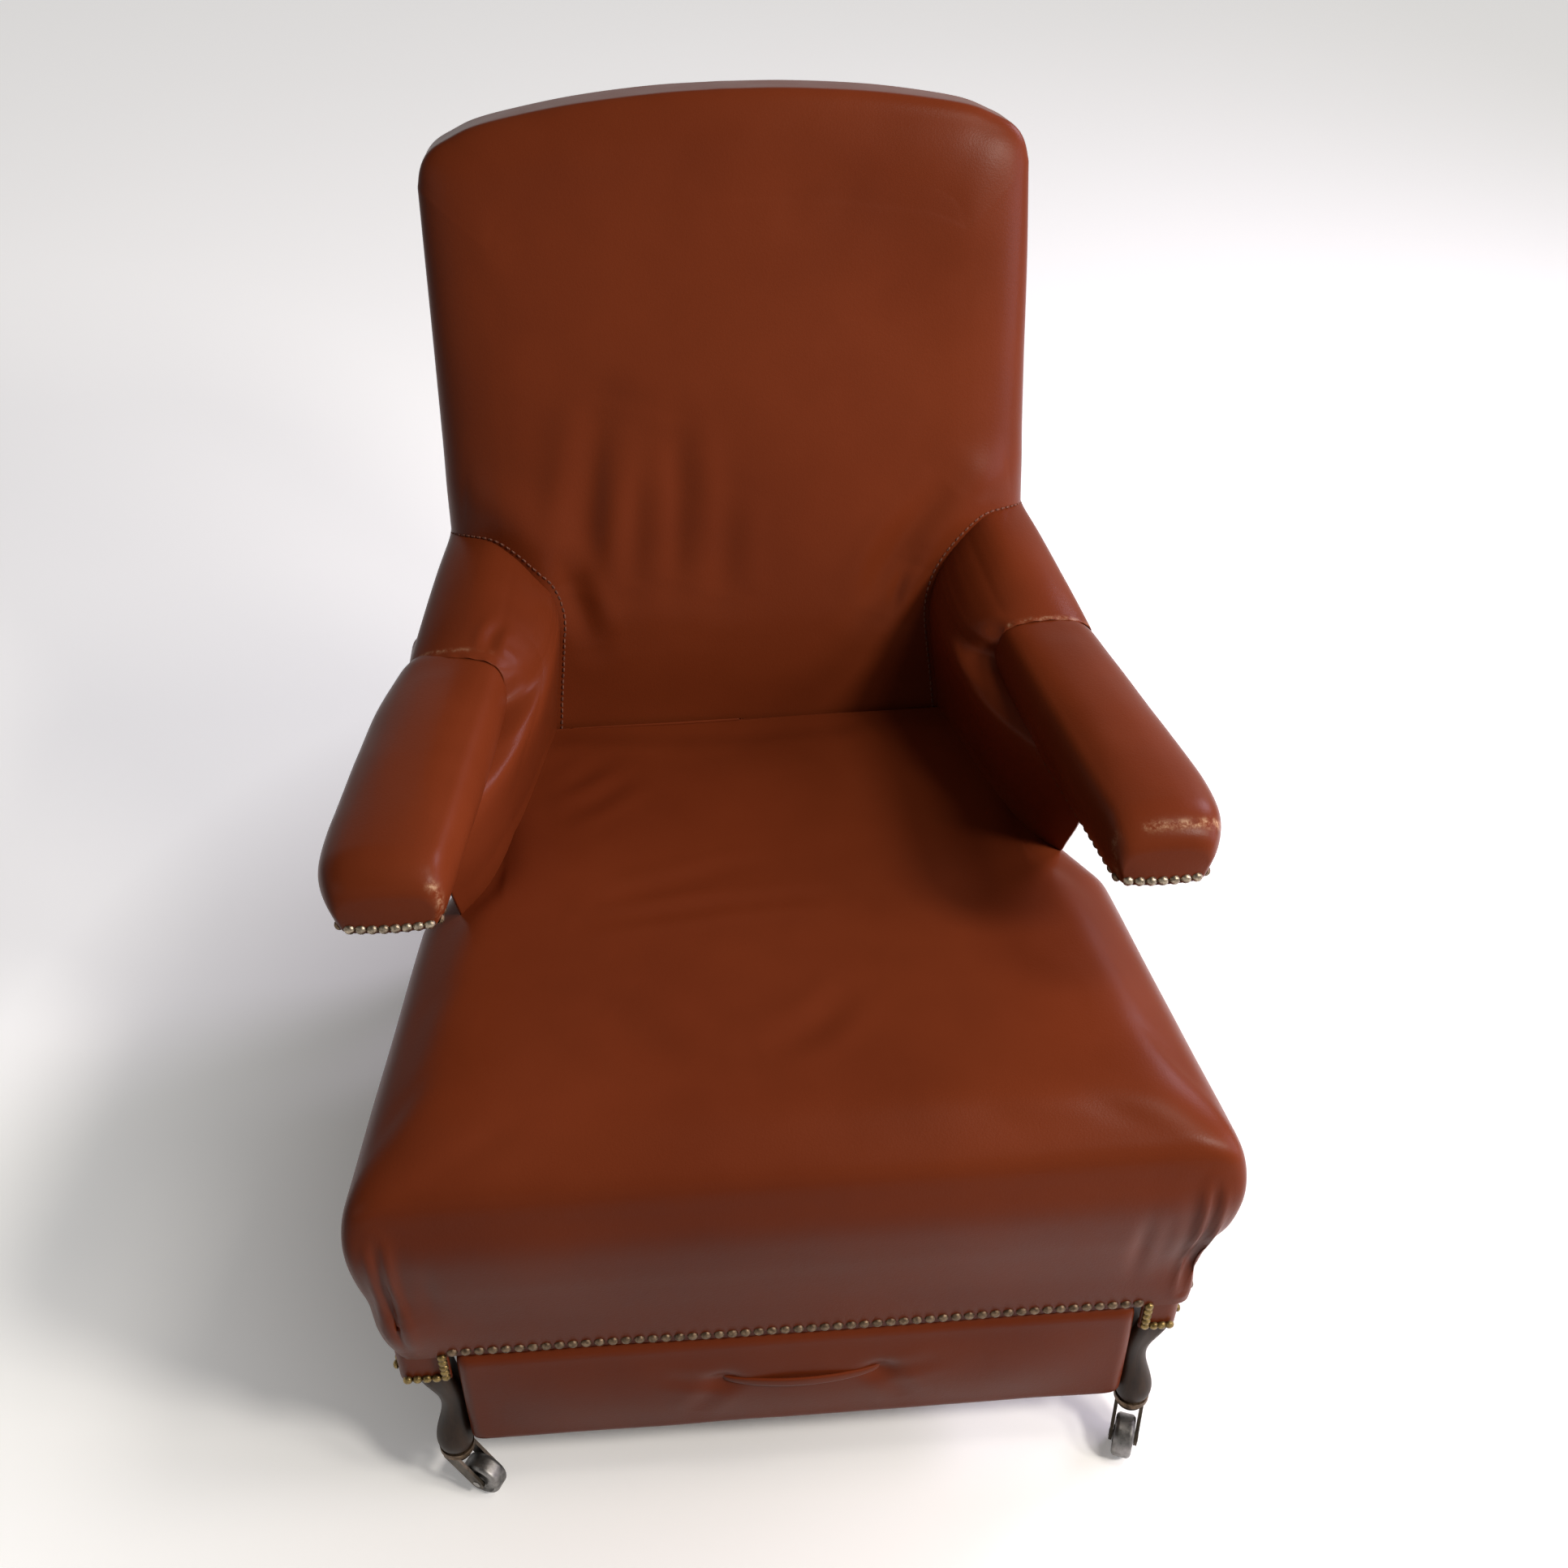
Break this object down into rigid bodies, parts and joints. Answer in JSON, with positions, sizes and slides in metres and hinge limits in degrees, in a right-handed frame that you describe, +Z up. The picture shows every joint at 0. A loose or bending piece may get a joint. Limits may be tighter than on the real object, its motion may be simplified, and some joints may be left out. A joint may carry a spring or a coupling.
{
  "type": "reclining armchair",
  "caption": "Leather armchair with an arched reclining back, linked padded arms, a pull-out footrest under the seat and front casters.",
  "frame": {"origin": "floor level, in the middle of the chair's width and overall depth", "axes": "+Z up, -Y towards the front of the seat, +X to the right of someone who looks at the front"},
  "size_m": [0.7022, 0.8409, 1.0009],
  "materials": {
    "leather": "smooth reddish-brown, semi-gloss",
    "stuffed_leather": "smooth reddish-brown leather skin over stuffing, semi-gloss",
    "dark_wood": "dark stained, satin",
    "frame_wood": "plain sawn hardwood",
    "webbing": "woven jute",
    "fibre": "pressed fibre",
    "steel": "dull",
    "painted_steel": "dark paint",
    "iron": "worn dark iron",
    "wheel_iron": "worn grey iron",
    "brass": "aged"
  },
  "bodies": {
    "base": {"front_rail": "frame_wood", "rear_rail": "frame_wood", "left_side_rail": "frame_wood", "right_side_rail": "frame_wood", "corner_blocks": "frame_wood", "seat_webbing": "webbing", "seat_cushion": "stuffed_leather", "front_apron": "leather", "left_side_apron": "leather", "right_side_apron": "leather", "runner_battens": "frame_wood", "left_footrest_runner": "frame_wood", "right_footrest_runner": "frame_wood", "recline_pivots": "steel", "friction_discs": "fibre", "spring_washers": "steel", "post_pins": "steel", "caster_sockets": "brass", "left_front_leg": "dark_wood", "right_front_leg": "dark_wood", "left_rear_leg": "dark_wood", "right_rear_leg": "dark_wood"},
    "back": {"left_back_stile": "frame_wood", "right_back_stile": "frame_wood", "crest_rail": "frame_wood", "lumbar_rail": "frame_wood", "back_bottom_rail": "frame_wood", "back_webbing": "webbing", "back_cushion": "stuffed_leather", "back_outside_panel": "leather", "arm_rear_pins": "steel"},
    "footrest": {"footrest_front_board": "frame_wood", "footrest_front_pad": "stuffed_leather", "footrest_back_board": "frame_wood", "footrest_top_board": "frame_wood", "footrest_top_pad": "stuffed_leather", "footrest_cleats": "frame_wood", "footrest_pull": "leather", "left_footrest_side": "frame_wood", "right_footrest_side": "frame_wood"},
    "left_arm": {"left_arm_rail": "frame_wood", "left_arm_pad": "stuffed_leather", "left_arm_lug": "steel", "left_arm_front_pin": "steel", "left_side_wing": "stuffed_leather"},
    "left_post": {"left_arm_post": "painted_steel"},
    "left_caster": {"left_caster_fork": "iron", "left_caster_axle": "steel"},
    "left_wheel": {"left_caster_wheel": "wheel_iron"},
    "right_arm": {"right_arm_rail": "frame_wood", "right_arm_pad": "stuffed_leather", "right_arm_lug": "steel", "right_arm_front_pin": "steel", "right_side_wing": "stuffed_leather"},
    "right_post": {"right_arm_post": "painted_steel"},
    "right_caster": {"right_caster_fork": "iron", "right_caster_axle": "steel"},
    "right_wheel": {"right_caster_wheel": "wheel_iron"}
  },
  "joints": [
    {"name": "recline", "type": "hinge", "parent": "base", "child": "back", "pos_m": [0, 0.2778, 0.27], "axis": [-1, 0, 0], "range_deg": [0, 24]},
    {"name": "left_arm_hinge", "type": "hinge", "parent": "back", "child": "left_arm", "pos_m": [0, 0.2778, 0.59], "axis": [-1, 0, 0], "range_deg": [-24, 0], "deforming": ["left_side_wing"]},
    {"name": "left_post_hinge", "type": "hinge", "parent": "base", "child": "left_post", "pos_m": [0, 0.0458, 0.239], "axis": [-1, 0, 0], "range_deg": [0, 24]},
    {"name": "right_arm_hinge", "type": "hinge", "parent": "back", "child": "right_arm", "pos_m": [0, 0.2778, 0.59], "axis": [-1, 0, 0], "range_deg": [-24, 0], "deforming": ["right_side_wing"]},
    {"name": "right_post_hinge", "type": "hinge", "parent": "base", "child": "right_post", "pos_m": [0, 0.0458, 0.239], "axis": [-1, 0, 0], "range_deg": [0, 24]},
    {"name": "footrest_slide", "type": "slide", "parent": "base", "child": "footrest", "axis": [0, -1, 0], "range_m": [0, 0.38]},
    {"name": "left_caster_swivel", "type": "hinge", "parent": "base", "child": "left_caster", "pos_m": [-0.313, -0.3782, 0.055], "axis": [0, 0, 1], "continuous": true},
    {"name": "left_wheel_spin", "type": "hinge", "parent": "left_caster", "child": "left_wheel", "pos_m": [-0.29135, -0.3907, 0.02], "axis": [0.5, 0.866, 0], "continuous": true},
    {"name": "right_caster_swivel", "type": "hinge", "parent": "base", "child": "right_caster", "pos_m": [0.313, -0.3782, 0.055], "axis": [0, 0, 1], "continuous": true},
    {"name": "right_wheel_spin", "type": "hinge", "parent": "right_caster", "child": "right_wheel", "pos_m": [0.30445, -0.40169, 0.02], "axis": [0.9397, -0.342, 0], "continuous": true}
  ],
  "couplings": [
    {"joint": "left_arm_hinge", "follows": "recline", "ratio": -1},
    {"joint": "left_post_hinge", "follows": "recline", "ratio": 1},
    {"joint": "right_arm_hinge", "follows": "recline", "ratio": -1},
    {"joint": "right_post_hinge", "follows": "recline", "ratio": 1}
  ]
}
